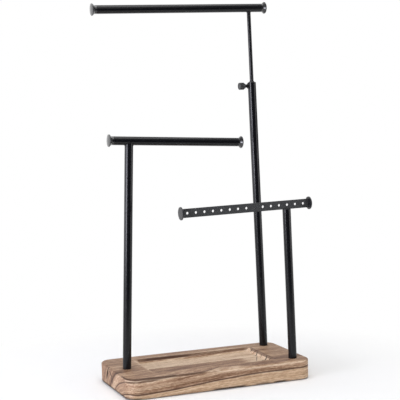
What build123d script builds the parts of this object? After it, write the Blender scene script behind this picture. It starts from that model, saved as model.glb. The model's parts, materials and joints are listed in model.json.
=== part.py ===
from build123d import *
import os
from math import cos, radians, sin

# Jewellery stand: a wooden block with a shallow tray carries three T-shaped hangers. The left hanger and
# the mast carry round bars for necklaces and bracelets, the front one a flat bar pierced for earrings.
# The mast's bar stands on a rod that slides and turns in the mast and is locked by a clamp screw.
# Millimetres. The origin is the middle of the plane that the stand rests on, +X runs along the block,
# -Y is its front and +Z is up.

# ---------------------------------------------------------------- driving dimensions
# Wooden block
block_length = 226.0
block_depth = 114.0
block_height = 22.5
block_corner_radius = 14.0
block_top_edge_radius = 2.0
block_bottom_edge_radius = 1.2

# Tray sunk in the block's top: its mouth, and how far its walls lean in on their way down
tray_length = 150.0
tray_depth = 74.0
tray_sink = 5.0
tray_wall_run = 3.0
tray_corner_radius = 9.0
tray_floor_radius = 2.0
tray_rim_radius = 0.8

# Rubber pads let into the underside
pad_diameter = 12.0
pad_recess = 1.2
pad_stand_out = 0.8
pad_edge_radius = 0.3
pad_inset = 15.0

# Uprights: their feet's distance from the block's ends and sides, and how far each leans to the right.
# Each one leans a little towards its long arm.
foot_end_inset = 17.0
foot_side_inset = 17.0
left_lean = 2.3
mast_lean = -1.5
front_lean = -1.4

# Tubes of the uprights and the round bars
post_diameter = 9.8
mast_diameter = 10.0
bar_diameter = 10.0
tube_wall = 1.0
tube_mouth_chamfer = 0.3

# Heights of the bars' axes above the block, along each upright, and the arms out to the bars' end faces
left_bar_height = 260.8
left_bar_left_arm = 25.0
left_bar_right_arm = 140.0
mast_height = 327.0
top_bar_height = 416.9
top_bar_left_arm = 199.0
top_bar_right_arm = 22.0
earring_bar_height = 181.4
earring_bar_left_arm = 132.5
earring_bar_right_arm = 30.0

# Flat earring bar
earring_bar_width = 10.2
earring_bar_thickness = 2.0
earring_hole_diameter = 3.0
earring_hole_count = 15
earring_hole_spacing = 10.4
earring_disc_diameter = 15.0
earring_disc_thickness = 1.4

# Flanged caps in the round bars' ends
cap_flange_diameter = 14.2
cap_rim_width = 0.9
cap_dome = 0.7
cap_cone_length = 2.3
cap_neck_length = 2.2
cap_spigot_length = 8.0
cap_rim_radius = 0.35

# Mountings of the uprights: each stands in a socket and is pulled down by a screw from below
socket_depth = 7.0
screw_diameter = 5.0
screw_grip_in_plug = 9.0
screw_head_diameter = 9.0
screw_head_height = 3.0
screw_head_taper = 12.0
hex_key_size = 3.0
hex_key_depth = 2.0
counterbore_depth = 6.0
washer_diameter = 12.0
washer_thickness = 1.0
plug_length = 12.0

# Height rod with its lower sleeve, and the guide bush in the mast's mouth
rod_diameter = 4.7
rod_neck_diameter = 3.6
rod_head_diameter = 5.4
rod_head_height = 1.4
sleeve_length = 14.0
bush_length = 22.0
bush_collar_diameter = 6.8
bush_collar_height = 1.2
bush_collar_taper = 20.0

# Clamp screw near the mast's mouth, and the flanged nut that it runs in
clamp_drop = 4.4
stud_diameter = 4.0
nut_body_diameter = 5.2
nut_flange_diameter = 6.4
nut_flange_reach = 0.9
nut_seat_in_bush = 0.9
knob_diameter = 8.6
knob_neck_diameter = 5.0
knob_gap = 3.9
knob_cone_length = 2.4
knob_grip_length = 5.8
knob_edge_radius = 0.6
stud_grip_in_knob = 5.0

# Clearances, on the radius or on the length that they open
socket_clearance = 0.15
press_clearance = 0.02
running_clearance = 0.06
screw_hole_clearance = 0.35
counterbore_clearance = 0.8
weld_clearance = 0.02
stop_gap = 0.3
cut_overrun = 2.0

# ---------------------------------------------------------------- places worked out from them
block_top = pad_stand_out + block_height
post_radius = post_diameter / 2
mast_radius = mast_diameter / 2
mast_bore_radius = mast_radius - tube_wall
post_bore_radius = post_radius - tube_wall
bar_radius = bar_diameter / 2
bar_bore_radius = bar_radius - tube_wall
rod_radius = rod_diameter / 2
stud_radius = stud_diameter / 2
screw_radius = screw_diameter / 2
cap_reach = cap_neck_length + cap_cone_length + cap_rim_width + cap_dome
foot_x = block_length / 2 - foot_end_inset
foot_y = block_depth / 2 - foot_side_inset
bearing_depth = block_height - counterbore_depth
clamp_height = mast_height - clamp_drop
sleeve_top = mast_height - bush_length - stop_gap
nut_face = mast_radius + nut_flange_reach
stud_tip = rod_radius + running_clearance
knob_start = mast_radius + knob_gap
knob_end = knob_start + knob_cone_length + knob_grip_length
stud_end = knob_start + stud_grip_in_knob


def upright_plane(x, y, lean):
    """Plane at an upright's foot: its normal runs up the upright, its x axis along the bar."""
    slope = radians(lean)
    return Plane(
        origin=(x, y, block_top),
        x_dir=(cos(slope), 0, -sin(slope)),
        z_dir=(sin(slope), 0, cos(slope)),
    )


left_foot = upright_plane(-foot_x, 0, left_lean)
mast_foot = upright_plane(foot_x, foot_y, mast_lean)
front_foot = upright_plane(foot_x, -foot_y, front_lean)
feet = (left_foot, mast_foot, front_foot)


def across(foot, height, along=0.0):
    """Plane square to a bar, at a distance along it; its y axis runs up the upright."""
    return Plane(
        origin=foot.from_local_coords((along, 0, height)),
        x_dir=foot.y_dir,
        z_dir=foot.x_dir,
    )


def outward(foot, height, along, side):
    """Plane through a bar's axis: x points out of the bar to the left (-1) or right (+1), y points up."""
    return Plane(
        origin=foot.from_local_coords((along, 0, height)),
        x_dir=foot.x_dir * side,
        z_dir=foot.y_dir * -side,
    )


def spin_about_x(plane):
    """Axis along a plane's x direction, to revolve a profile about."""
    return Axis(plane.origin, plane.x_dir)


def spin_about_normal(plane):
    """Axis along a plane's normal, to revolve a profile about."""
    return Axis(plane.origin, plane.z_dir)


os.makedirs("parts", exist_ok=True)


def save(piece, name):
    """Label a finished piece and write it to its own file."""
    piece.part.label = name
    export_step(piece.part, f"parts/{name}.step")


# ---------------------------------------------------------------- wooden block and its pads
with BuildPart() as wood_base:
    with BuildSketch(Plane.XY.offset(pad_stand_out)):
        RectangleRounded(block_length, block_depth, block_corner_radius)
    extrude(amount=block_height)
    fillet(wood_base.edges().group_by(Axis.Z)[-1], block_top_edge_radius)
    fillet(wood_base.edges().group_by(Axis.Z)[0], block_bottom_edge_radius)

    # Tray, with leaning walls that run into its floor in a cove
    with BuildSketch(Plane.XY.offset(block_top)):
        RectangleRounded(tray_length, tray_depth, tray_corner_radius)
    with BuildSketch(Plane.XY.offset(block_top - tray_sink)):
        RectangleRounded(
            tray_length - 2 * tray_wall_run,
            tray_depth - 2 * tray_wall_run,
            tray_corner_radius,
        )
    loft(mode=Mode.SUBTRACT)
    level_faces = wood_base.faces().filter_by(Axis.Z).sort_by(Axis.Z)
    fillet(level_faces[-2].edges(), tray_floor_radius)
    tray_mouth = wood_base.faces().filter_by(Axis.Z).sort_by(Axis.Z)[-1].inner_wires()
    fillet(tray_mouth.edges(), tray_rim_radius)

    # Recesses for the pads
    with BuildSketch(Plane.XY.offset(pad_stand_out)):
        with GridLocations(block_length - 2 * pad_inset, block_depth - 2 * pad_inset, 2, 2):
            Circle(pad_diameter / 2 + socket_clearance)
    extrude(amount=pad_recess, mode=Mode.SUBTRACT)

    # Socket, screw hole and counterbore under each upright, all along its own axis
    for foot in feet:
        tube_radius = mast_radius if foot is mast_foot else post_radius
        with BuildSketch(foot.offset(-socket_depth)):
            Circle(tube_radius + socket_clearance)
        extrude(amount=socket_depth + cut_overrun, mode=Mode.SUBTRACT)
        with BuildSketch(foot.offset(-bearing_depth - cut_overrun)):
            Circle(screw_radius + screw_hole_clearance)
        extrude(amount=bearing_depth, mode=Mode.SUBTRACT)
        with BuildSketch(foot.offset(-bearing_depth)):
            Circle(washer_diameter / 2 + counterbore_clearance)
        extrude(amount=-counterbore_depth - cut_overrun, mode=Mode.SUBTRACT)
save(wood_base, "wood_base")

with BuildPart() as base_pads:
    with BuildSketch():
        with GridLocations(block_length - 2 * pad_inset, block_depth - 2 * pad_inset, 2, 2):
            Circle(pad_diameter / 2)
    extrude(amount=pad_stand_out + pad_recess)
    fillet(base_pads.edges().group_by(Axis.Z)[0], pad_edge_radius)
save(base_pads, "base_pads")


# ---------------------------------------------------------------- posts, plugs and foot screws
def make_foot_plug(foot, bore_radius):
    """Threaded plug pressed into an upright's lower end, flush with it."""
    with BuildPart() as plug:
        with BuildSketch(foot.offset(-socket_depth)):
            Circle(bore_radius - press_clearance)
            Circle(screw_radius + running_clearance, mode=Mode.SUBTRACT)
        extrude(amount=plug_length)
    return plug


def make_round_bar(foot, height, left_arm, right_arm):
    """Tube of a round bar between its two caps."""
    with BuildPart() as bar:
        with BuildSketch(across(foot, height, cap_reach - left_arm)):
            Circle(bar_radius)
            Circle(bar_bore_radius, mode=Mode.SUBTRACT)
        extrude(amount=left_arm + right_arm - 2 * cap_reach)
    return bar


def make_cap(foot, height, left_arm, right_arm, side):
    """Turned cap of a round bar: spigot in the tube, neck, cone, rim and a slightly domed face."""
    arm = right_arm if side > 0 else left_arm
    end = outward(foot, height, side * (arm - cap_reach), side)
    flange_radius = cap_flange_diameter / 2
    spigot_radius = bar_bore_radius - press_clearance
    cone_end = cap_neck_length + cap_cone_length
    face_start = cone_end + cap_rim_width
    dome_middle = face_start + cap_dome * 0.75
    with BuildPart() as cap:
        with BuildSketch(end):
            with BuildLine():
                Polyline(
                    (cap_reach, 0),
                    (-cap_spigot_length, 0),
                    (-cap_spigot_length, spigot_radius),
                    (0, spigot_radius),
                    (0, bar_radius),
                    (cap_neck_length, bar_radius),
                    (cone_end, flange_radius),
                    (face_start, flange_radius),
                )
                ThreePointArc((face_start, flange_radius), (dome_middle, flange_radius / 2), (cap_reach, 0))
            make_face()
        revolve(axis=spin_about_x(end))
        rim_edges = cap.edges().filter_by(GeomType.CIRCLE).filter_by(
            lambda edge: edge.radius > flange_radius - press_clearance
        )
        fillet(rim_edges, cap_rim_radius)
    return cap


def make_saddle(foot, height):
    """Round bar's seat, to be cut from the top of the upright that carries it."""
    with BuildPart() as saddle:
        with BuildSketch(across(foot, height, -mast_diameter)):
            Circle(bar_radius + weld_clearance)
        extrude(amount=2 * mast_diameter)
    return saddle


left_saddle = make_saddle(left_foot, left_bar_height)
top_saddle = make_saddle(mast_foot, top_bar_height)

with BuildPart() as left_post:
    with BuildSketch(left_foot.offset(-socket_depth)):
        Circle(post_radius)
        Circle(post_bore_radius, mode=Mode.SUBTRACT)
    extrude(amount=socket_depth + left_bar_height)
    add(left_saddle.part, mode=Mode.SUBTRACT)
save(left_post, "left_post")

with BuildPart() as front_post:
    with BuildSketch(front_foot.offset(-socket_depth)):
        Circle(post_radius)
        Circle(post_bore_radius, mode=Mode.SUBTRACT)
    extrude(amount=socket_depth + earring_bar_height - earring_bar_width / 2 - weld_clearance)
save(front_post, "front_post")

with BuildPart() as mast_tube:
    with BuildSketch(mast_foot.offset(-socket_depth)):
        Circle(mast_radius)
        Circle(mast_bore_radius, mode=Mode.SUBTRACT)
    extrude(amount=socket_depth + mast_height)
    mouth = mast_tube.faces().sort_by(spin_about_normal(mast_foot))[-1]
    chamfer(mouth.outer_wire().edges(), tube_mouth_chamfer)
    with BuildSketch(across(mast_foot, clamp_height)):
        Circle(nut_body_diameter / 2 + press_clearance)
    extrude(amount=-mast_diameter, mode=Mode.SUBTRACT)
save(mast_tube, "mast_tube")

for foot, bore_radius, name in (
    (left_foot, post_bore_radius, "left_post_plug"),
    (mast_foot, mast_bore_radius, "mast_plug"),
    (front_foot, post_bore_radius, "front_post_plug"),
):
    save(make_foot_plug(foot, bore_radius), name)

with BuildPart() as foot_washers:
    for foot in feet:
        with BuildSketch(foot.offset(-bearing_depth)):
            Circle(washer_diameter / 2)
            Circle(screw_radius + screw_hole_clearance, mode=Mode.SUBTRACT)
        extrude(amount=-washer_thickness)
save(foot_washers, "foot_washers")

with BuildPart() as foot_screws:
    head_seat = bearing_depth + washer_thickness
    head_bottom = head_seat + screw_head_height
    shank_length = head_seat - socket_depth + screw_grip_in_plug
    for foot in feet:
        with BuildSketch(foot.offset(-head_seat)):
            Circle(screw_head_diameter / 2)
        extrude(amount=-screw_head_height, taper=screw_head_taper)
        with BuildSketch(foot.offset(-head_seat)):
            Circle(screw_radius)
        extrude(amount=shank_length)
        with BuildSketch(foot.offset(-head_bottom)):
            RegularPolygon(hex_key_size / 2, 6, major_radius=False)
        extrude(amount=hex_key_depth, mode=Mode.SUBTRACT)
save(foot_screws, "foot_screws")

# ---------------------------------------------------------------- round bars and their caps
for foot, height, left_arm, right_arm, name in (
    (left_foot, left_bar_height, left_bar_left_arm, left_bar_right_arm, "left_bar"),
    (mast_foot, top_bar_height, top_bar_left_arm, top_bar_right_arm, "top_bar"),
):
    save(make_round_bar(foot, height, left_arm, right_arm), name)
    save(make_cap(foot, height, left_arm, right_arm, -1), f"{name}_cap_left")
    save(make_cap(foot, height, left_arm, right_arm, 1), f"{name}_cap_right")

# ---------------------------------------------------------------- flat earring bar on the front post
strip_left = earring_disc_thickness - earring_bar_left_arm
strip_right = earring_bar_right_arm - earring_disc_thickness
strip_middle = (strip_left + strip_right) / 2

with BuildPart() as front_post_cap:
    seat_height = earring_bar_height - earring_bar_width / 2 - weld_clearance
    with BuildSketch(front_foot.offset(seat_height)):
        Circle(post_bore_radius - press_clearance)
    extrude(amount=-plug_length / 2)
save(front_post_cap, "front_post_cap")

with BuildPart() as earring_bar:
    with BuildSketch(across(front_foot, earring_bar_height, strip_left)):
        Rectangle(earring_bar_thickness, earring_bar_width)
    extrude(amount=strip_right - strip_left)
    with BuildSketch(outward(front_foot, earring_bar_height, strip_middle, 1)):
        with GridLocations(earring_hole_spacing, 0, earring_hole_count, 1):
            Circle(earring_hole_diameter / 2)
    extrude(amount=earring_bar_thickness, both=True, mode=Mode.SUBTRACT)
save(earring_bar, "earring_bar")

for along, name in (
    (strip_left - earring_disc_thickness, "earring_bar_disc_left"),
    (strip_right, "earring_bar_disc_right"),
):
    with BuildPart() as earring_disc:
        with BuildSketch(across(front_foot, earring_bar_height, along)):
            Circle(earring_disc_diameter / 2)
        extrude(amount=earring_disc_thickness)
        fillet(earring_disc.edges().filter_by(GeomType.CIRCLE), cap_rim_radius)
    save(earring_disc, name)

# ---------------------------------------------------------------- height rod, sleeve and guide bush
with BuildPart() as height_rod:
    with BuildSketch(mast_foot.offset(sleeve_top)):
        Circle(rod_radius)
    extrude(amount=top_bar_height - sleeve_top)
    with BuildSketch(mast_foot.offset(sleeve_top)):
        Circle(rod_neck_diameter / 2)
    extrude(amount=-sleeve_length - 2 * running_clearance)
    with BuildSketch(mast_foot.offset(sleeve_top - sleeve_length - 2 * running_clearance)):
        Circle(rod_head_diameter / 2)
    extrude(amount=-rod_head_height)
    add(top_saddle.part, mode=Mode.SUBTRACT)
save(height_rod, "height_rod")

with BuildPart() as rod_sleeve:
    with BuildSketch(mast_foot.offset(sleeve_top - running_clearance)):
        Circle(mast_bore_radius - running_clearance)
        Circle(rod_neck_diameter / 2 + running_clearance, mode=Mode.SUBTRACT)
    extrude(amount=-sleeve_length)
save(rod_sleeve, "rod_sleeve")

with BuildPart() as mast_guide_bush:
    with BuildSketch(mast_foot.offset(mast_height - bush_length)):
        Circle(mast_bore_radius - press_clearance)
    extrude(amount=bush_length)
    with BuildSketch(mast_foot.offset(mast_height)):
        Circle(bush_collar_diameter / 2)
    extrude(amount=bush_collar_height, taper=bush_collar_taper)
    with BuildSketch(mast_foot.offset(mast_height - bush_length)):
        Circle(rod_radius + running_clearance)
    extrude(amount=bush_length + bush_collar_height, mode=Mode.SUBTRACT)
    with BuildSketch(across(mast_foot, clamp_height)):
        Circle(nut_body_diameter / 2 + press_clearance)
    extrude(amount=-mast_diameter, mode=Mode.SUBTRACT)
save(mast_guide_bush, "mast_guide_bush")

# ---------------------------------------------------------------- clamp nut, stud and knob
with BuildPart() as clamp_nut:
    with BuildSketch(across(mast_foot, clamp_height, -nut_face)):
        Circle(nut_flange_diameter / 2)
    extrude(amount=mast_radius)
    with BuildSketch(mast_foot.offset(clamp_height - nut_flange_diameter)):
        Circle(mast_radius + weld_clearance)
    extrude(amount=2 * nut_flange_diameter, mode=Mode.SUBTRACT)
    with BuildSketch(across(mast_foot, clamp_height, -nut_face)):
        Circle(nut_body_diameter / 2)
    extrude(amount=nut_face - mast_bore_radius + nut_seat_in_bush)
    with BuildSketch(across(mast_foot, clamp_height)):
        Circle(stud_radius + running_clearance)
    extrude(amount=-mast_diameter, mode=Mode.SUBTRACT)
save(clamp_nut, "clamp_nut")

with BuildPart() as clamp_stud:
    with BuildSketch(across(mast_foot, clamp_height, -stud_end)):
        Circle(stud_radius)
    extrude(amount=stud_end - stud_tip)
save(clamp_stud, "clamp_stud")

with BuildPart() as clamp_knob:
    clamp_side = outward(mast_foot, clamp_height, 0, -1)
    hole_radius = stud_radius + press_clearance
    with BuildSketch(clamp_side):
        with BuildLine():
            Polyline(
                (knob_start, hole_radius),
                (knob_start, knob_neck_diameter / 2),
                (knob_start + knob_cone_length, knob_diameter / 2),
                (knob_end, knob_diameter / 2),
                (knob_end, 0),
                (stud_end, 0),
                (stud_end, hole_radius),
                (knob_start, hole_radius),
            )
        make_face()
    revolve(axis=spin_about_x(clamp_side))
    outer_rim = clamp_knob.faces().sort_by(spin_about_x(clamp_side))[-1].edges()
    fillet(outer_rim, knob_edge_radius)
save(clamp_knob, "clamp_knob")
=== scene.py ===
import json
from math import atan2, cos, pi, radians, sin, sqrt, tan

import bpy
from mathutils import Matrix, Vector


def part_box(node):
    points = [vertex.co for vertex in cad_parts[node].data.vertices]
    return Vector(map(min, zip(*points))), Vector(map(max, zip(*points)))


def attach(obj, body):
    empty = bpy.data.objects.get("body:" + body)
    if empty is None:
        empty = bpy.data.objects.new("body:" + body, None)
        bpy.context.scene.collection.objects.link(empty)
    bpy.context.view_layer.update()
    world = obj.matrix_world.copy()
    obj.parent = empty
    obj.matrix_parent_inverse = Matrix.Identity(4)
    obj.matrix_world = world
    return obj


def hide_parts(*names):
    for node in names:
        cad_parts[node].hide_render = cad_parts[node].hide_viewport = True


# The stand's looks: an oiled block of wide-ringed wood with drying cracks, black powder-coated tubes, and
# turned fittings. Metres; what is written in millimetres is turned into metres by MM.
MM = 0.001
TOLERANCE = 0.01 * MM

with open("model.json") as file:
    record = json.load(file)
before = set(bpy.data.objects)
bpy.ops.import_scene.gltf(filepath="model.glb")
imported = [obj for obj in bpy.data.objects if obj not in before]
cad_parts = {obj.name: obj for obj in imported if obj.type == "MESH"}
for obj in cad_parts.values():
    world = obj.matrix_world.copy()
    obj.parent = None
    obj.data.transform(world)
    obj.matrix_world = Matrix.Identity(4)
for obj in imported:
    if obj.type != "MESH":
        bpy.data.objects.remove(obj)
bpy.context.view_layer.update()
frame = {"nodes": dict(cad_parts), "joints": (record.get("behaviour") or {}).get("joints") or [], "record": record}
nodes = frame["nodes"]

# ---------------------------------------------------------------- sizes that the frame gives
block_low, block_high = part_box("wood_base")
block_size = block_high - block_low
block_top = block_high.z
clamp_joint = next(joint for joint in frame["joints"] if joint["name"] == "clamp_turn")
clamp_point = Vector(clamp_joint["pos_m"])
clamp_out = Vector(clamp_joint["axis"]).normalized()

# Sizes that the wooden block shares with the metalwork, in millimetres
CORNER_RADIUS = 14.0
TOP_EDGE_RADIUS = 2.0
BOTTOM_EDGE_RADIUS = 1.2
TRAY_LENGTH = 150.0
TRAY_DEPTH = 74.0
TRAY_SINK = 5.0
TRAY_WALL_RUN = 3.0
TRAY_CORNER_RADIUS = 9.0
TRAY_COVE = 2.0
TRAY_RIM_RADIUS = 0.8
SOCKET_DEPTH = 7.0
SOCKET_RADIUS = 5.15
SLIMMER_SOCKETS = 0.1
SCREW_HOLE_RADIUS = 2.85
COUNTERBORE_DEPTH = 6.0
COUNTERBORE_RADIUS = 6.8
PAD_RECESS = 1.2
PAD_RECESS_RADIUS = 6.15
PAD_RADIUS = 6.0

# Feet of the uprights on the block's top, and how far each leans to the right, in degrees
LEFT_FOOT, LEFT_LEAN = (-0.096, 0.0), 2.3
MAST_FOOT, MAST_LEAN = (0.096, 0.040), -1.5
FRONT_FOOT, FRONT_LEAN = (0.096, -0.040), -1.4


def upright(foot, lean, height=0.0, along=0.0):
    """Matrix at a height up an upright: its z axis runs up the upright, its x axis along the bar."""
    base = Matrix.Translation((foot[0], foot[1], block_top)) @ Matrix.Rotation(radians(lean), 4, "Y")
    return base @ Matrix.Translation((along, 0, height))


# ---------------------------------------------------------------- modelling helpers
def deselect():
    """Leave nothing selected, so that the next operator acts on its own piece alone."""
    if bpy.context.mode != "OBJECT":
        bpy.ops.object.mode_set(mode="OBJECT")
    bpy.ops.object.select_all(action="DESELECT")


def named(name):
    """Name the primitive that was just added."""
    piece = bpy.context.active_object
    piece.name = name
    piece.data.name = name
    return piece


def activate(piece):
    """Make a piece the only selected one, and the active one."""
    deselect()
    piece.select_set(True)
    bpy.context.view_layer.objects.active = piece


def settle(piece, matrix=None):
    """Move a piece's placing into its mesh, and leave the object itself at the origin."""
    activate(piece)
    if matrix is not None:
        piece.matrix_world = matrix @ piece.matrix_world
    bpy.ops.object.transform_apply(location=True, rotation=True, scale=True)


def pick(piece, kind, wanted):
    """Select, in edit mode, the faces or edges that a test on their data picks out."""
    bpy.ops.object.mode_set(mode="EDIT")
    bpy.ops.mesh.select_mode(type=kind)
    bpy.ops.mesh.select_all(action="DESELECT")
    bpy.ops.object.mode_set(mode="OBJECT")
    group = piece.data.polygons if kind == "FACE" else piece.data.edges
    for element in group:
        element.select = bool(wanted(element))
    bpy.ops.object.mode_set(mode="EDIT")


def ends_of(piece, edge):
    """The two corners of an edge."""
    return [piece.data.vertices[index].co for index in edge.vertices]


def bevel(offset, segments):
    """Round the selected edges."""
    bpy.ops.mesh.bevel(offset=offset, segments=segments, affect="EDGES", clamp_overlap=True)


def smooth(piece, degrees=32):
    """Shade smooth, apart from edges that turn by more than an angle."""
    activate(piece)
    bpy.ops.object.shade_smooth_by_angle(angle=radians(degrees))


def cut(piece, cutters):
    """Take cutters out of a piece, which uses them up."""
    activate(cutters[0])
    for cutter in cutters:
        cutter.select_set(True)
    bpy.ops.object.join()
    tool = bpy.context.active_object
    activate(piece)
    boolean = piece.modifiers.new("cut", "BOOLEAN")
    boolean.operation = "DIFFERENCE"
    boolean.solver = "EXACT"
    boolean.object = tool
    bpy.ops.object.modifier_apply(modifier=boolean.name)
    bpy.data.objects.remove(tool)


def rod(radius, depth, matrix, vertices=48):
    """Plain round cutter or core, centred on a matrix and running along its z axis."""
    deselect()
    bpy.ops.mesh.primitive_cylinder_add(vertices=vertices, radius=radius, depth=depth)
    piece = named("rod")
    settle(piece, matrix)
    return piece


def mount(piece, body, slot, *replaced):
    """Let a finished piece ride on its body and stand for its CAD nodes; its slot is not used."""
    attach(piece, body)
    if replaced:
        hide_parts(*replaced)


# ---------------------------------------------------------------- shader maths
class Value:
    """A shader socket on which Python's arithmetic adds Math nodes."""

    def __init__(self, finish, socket):
        self.finish = finish
        self.socket = socket

    def math(self, operation, *others):
        return self.finish.add("Math", dict(enumerate((self, *others))), operation=operation)

    def __add__(self, other):
        return self.math("ADD", other)

    __radd__ = __add__

    def __sub__(self, other):
        return self.math("SUBTRACT", other)

    def __rsub__(self, other):
        return self.finish.add("Math", {0: other, 1: self}, operation="SUBTRACT")

    def __mul__(self, other):
        return self.math("MULTIPLY", other)

    __rmul__ = __mul__

    def __truediv__(self, other):
        return self.math("DIVIDE", other)

    def at_least(self, other):
        return self.math("MAXIMUM", other)

    def root(self):
        return self.math("SQRT")

    def size(self):
        return self.math("ABSOLUTE")

    def ramp(self, low, high):
        """0 below low and 1 above high, with a smooth rise between. low may be above high."""
        if low > high:
            return 1 - self.ramp(high, low)
        limits = {"From Min": low, "From Max": high, "Value": self}
        return self.finish.add("MapRange", limits, interpolation_type="SMOOTHSTEP")


class Finish:
    """A material in the making. One method adds any node: its settings first, then its sockets."""

    def __init__(self, name):
        self.material = bpy.data.materials.new(name)
        self.material.use_nodes = True
        self.tree = self.material.node_tree
        self.shader = self.tree.nodes["Principled BSDF"]

    def add(self, kind, sockets, output=0, stops=(), **settings):
        node = self.tree.nodes.new("ShaderNode" + kind)
        for setting, value in settings.items():
            setattr(node, setting, value)
        if stops:
            elements = node.color_ramp.elements
            for position, _ in stops[2:]:
                elements.new(position)
            for element, (position, colour) in zip(elements, stops):
                element.position = position
                element.color = (*colour, 1)
        for socket, value in sockets.items():
            self.feed(node.inputs[socket], value)
        return Value(self, node.outputs[output])

    def feed(self, socket, value):
        if isinstance(value, Value):
            self.tree.links.new(value.socket, socket)
        else:
            socket.default_value = value

    def place(self):
        """Place on the piece, in millimetres."""
        spot = self.add("TexCoord", {}, output=3)
        return self.add("VectorMath", {0: spot, 3: 1 / MM}, operation="SCALE")

    def split(self, vector):
        """The x, y and z of a vector."""
        return [self.add("SeparateXYZ", {0: vector}, output=index) for index in range(3)]

    def join(self, x, y, z):
        """A vector from its x, y and z."""
        return self.add("CombineXYZ", {0: x, 1: y, 2: z})

    def dot(self, vector, direction):
        """How far a vector reaches along a direction."""
        return self.add("VectorMath", {0: vector, 1: direction}, output=1, operation="DOT_PRODUCT")

    def noise(self, vector, scale, detail=3.0, roughness=0.5):
        """Noise from 0 to 1 about a half."""
        sockets = {"Vector": vector, "Scale": scale, "Detail": detail, "Roughness": roughness}
        return self.add("TexNoise", sockets)

    def mix(self, share, first, second):
        """Colour between two colours."""
        colours = [c if isinstance(c, Value) else (*c, 1) for c in (first, second)]
        sockets = {0: share, 6: colours[0], 7: colours[1]}
        return self.add("Mix", sockets, output=2, data_type="RGBA")

    def bump(self, height, distance, strength=1.0):
        """Relief from a height of 0 to 1, as deep as a distance in metres."""
        relief = self.add("Bump", {"Height": height, "Distance": distance, "Strength": strength})
        self.feed(self.shader.inputs["Normal"], relief)

    def set(self, **sockets):
        """Set the shader's own sockets; an underscore stands for a blank."""
        for socket, value in sockets.items():
            colour = isinstance(value, tuple)
            self.feed(self.shader.inputs[socket.replace("_", " ")], (*value, 1) if colour else value)
        return self.material


def srgb(red, green, blue):
    """Colour as seen on a screen, from 0 to 255, in the shader's linear numbers."""
    shares = [level / 255 for level in (red, green, blue)]
    return tuple(s / 12.92 if s <= 0.04045 else ((s + 0.055) / 1.055) ** 2.4 for s in shares)


def dress(piece, material):
    """Give a piece one material all over."""
    for slot in piece.material_slots:
        slot.material = material
    if not piece.material_slots:
        piece.data.materials.append(material)


# ---------------------------------------------------------------- wood
PALE_WOOD = srgb(219, 196, 171)
TAN_WOOD = srgb(188, 158, 131)
BROWN_WOOD = srgb(150, 117, 92)
DEEP_WOOD = srgb(104, 72, 52)
SAP_WOOD = srgb(214, 182, 142)
RING_LINE = srgb(66, 39, 26)
CRACK_DARK = srgb(34, 21, 15)

# The wood's tone is its grain, less the heartwood and plus the pale places and painted highlights. It turns into a
# colour so:
WOOD_STOPS = ((0.12, DEEP_WOOD), (0.36, BROWN_WOOD), (0.58, TAN_WOOD), (0.80, PALE_WOOD))
GRAIN_CONTRAST = 1.3
TONE_SHIFT = -0.110
HEARTWOOD_DROP = 0.25
PALE_RISE = 0.17

# The tree's heart runs under the block, and the rings climb the block's front to the right
HEART_Y, HEART_Z = -46.0, -42.0
HEART_SWAY = 1.6
RINGS_CLIMB = 9.0
CLIMB_START, CLIMB_END = -112.0, 60.0

# Towards the front corner the rings also lie lower than round the heart
RINGS_DROP = 3.6
DROP_START, DROP_END = -31.0, -55.0

# How far the ends of the dark stretches are ragged along the grain, in millimetres
RAGGED = 24

# Dark rings: radius, width, strength, and where along the block they fade out at the left and right.
# Millimetres.
LOWEST_RING = 45.5
DARK_RINGS = (
    (LOWEST_RING, 0.82, 1.0, -200, 200),
    (51.4, 0.30, 0.40, -200, 60),
    (59.3, 0.65, 1.0, -200, -80),
    (60.2, 0.50, 0.8, -88, -58),
    (72.8, 1.30, 1.0, -200, -106),
)

# The second of the two dark lines along the front left arris: its height at the block's middle, its rise
# along the block, how much lower it lies at the left corner, and half its width. Millimetres.
SECOND_LINE_HEIGHT = 23.9
SECOND_LINE_RISE = 0.028
SECOND_LINE_DIP = 1.5
SECOND_LINE_HALF = 0.45

# Patches of the wood: strength, face, and edges. An edge is a coordinate, where the patch is absent, where
# it is full, and its share of the ragged offset. Millimetres, read from the photograph.
HEARTWOOD = {
    "rim before the tray": (
        0.62, "top", (("y", -47, -41, 0.15), ("y", -15, -21, 0.15), ("x", -98, -82, 0), ("x", 104, 88, 0)),
    ),
    "right of the tray": (0.62, "top", (("x", 72, 84, 1), ("y", 30, 20, 0.3))),
    "rim behind the tray": (0.75, "top", (("y", 41, 46, 0.1),)),
    "left of the tray": (0.75, "top", (("x", -74, -84, 1), ("y", -30, -20, 0.2))),
    "rest of the top": (0.35, "top", ()),
    "middle of the front": (
        0.80, "front", (("ring", 46, 47.5, 0), ("x", -86, -54, 1), ("x", 76, 44, 1), ("z", 22.3, 18, 0.1)),
    ),
    "right of the front": (0.28, "front", (("ring", 46, 47.5, 0), ("x", 50, 70, 1))),
    "late wood over the lowest line": (0.7, "front", (("ring", 44.5, 47.3, 0), ("ring", 50.4, 47.6, 0))),
    "heart at the ends": (0.95, "ends", (("ring", 72, 75, 0),)),
    "round the heart": (0.55, "ends", (("ring", 64, 69, 0),)),
    "rest of the ends": (0.45, "end faces", ()),
}
# Edges of the painted highlight along the front top arris, right of the middle
PAINTED_ARRIS_HIGHLIGHT = (("z", 20.3, 21.3, 0.06), ("z", 25, 24, 0.06), ("x", -14, 6, 0.6))
TRAY_WALLS = (("z", 18.5, 19.3, 0), ("z", 23.6, 22.8, 0))
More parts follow.
